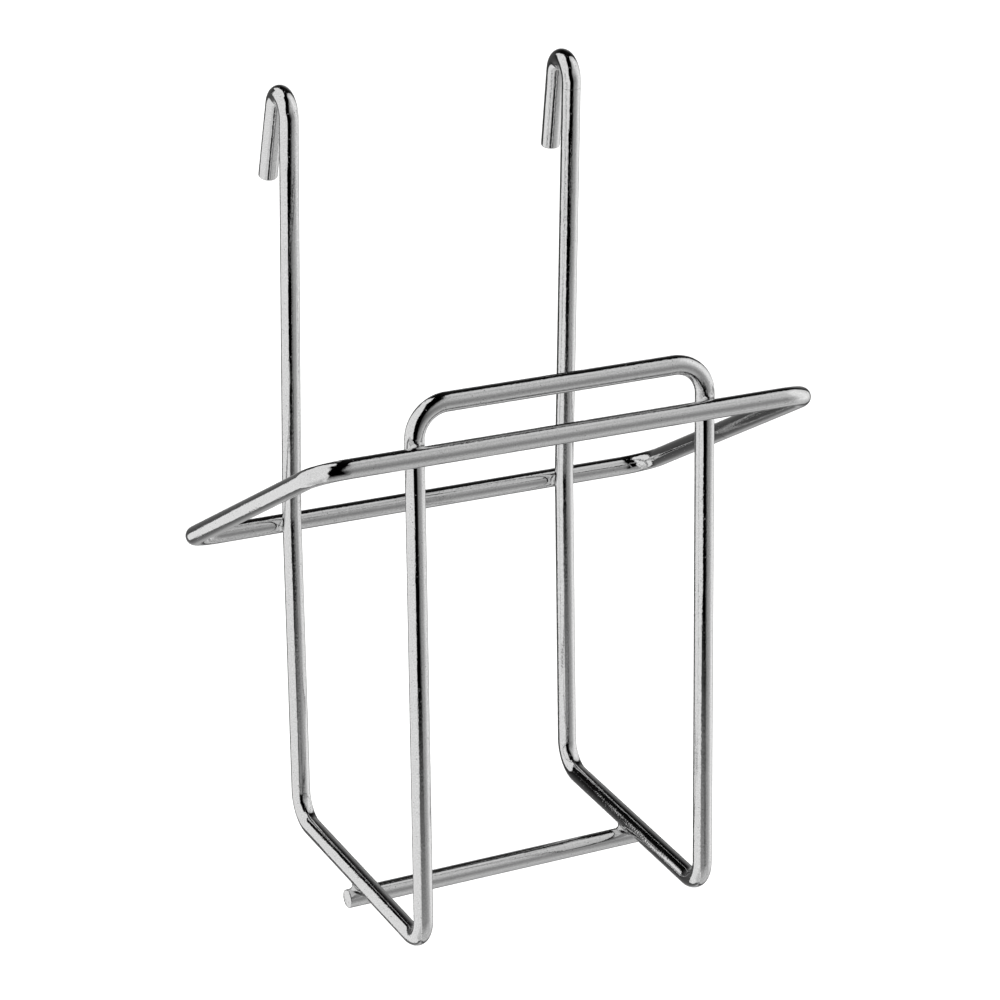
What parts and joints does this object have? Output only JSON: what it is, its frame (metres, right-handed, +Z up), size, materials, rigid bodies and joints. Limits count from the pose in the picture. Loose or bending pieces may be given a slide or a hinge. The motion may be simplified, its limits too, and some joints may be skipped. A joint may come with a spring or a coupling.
{
  "type": "plastic bag holder",
  "caption": "Chrome wire holder that hangs on a rail by its hooks, with a slanted ring to keep the mouth of a bag open and a wire cradle for the bags below it.",
  "frame": {"origin": "midway between the two hooks, at the seat on the inside of their bends where they rest on the rail", "axes": "+Z up, +X to the right seen from the front, +Y back towards the rail or panel behind"},
  "size_m": [0.1765, 0.1329, 0.2671],
  "materials": {
    "chrome_wire": "bright chrome plate on drawn steel wire, faintly pitted",
    "weld_metal": "chrome plate over a rough resistance weld"
  },
  "bodies": {
    "root": {"frame_wire": "chrome_wire", "ring_wire": "chrome_wire", "crossbar": "chrome_wire", "ring_butt_weld": "weld_metal", "ring_front_weld_left": "weld_metal", "ring_rear_weld_left": "weld_metal", "crossbar_weld_left": "weld_metal", "ring_front_weld_right": "weld_metal", "ring_rear_weld_right": "weld_metal", "crossbar_weld_right": "weld_metal"}
  },
  "joints": []
}
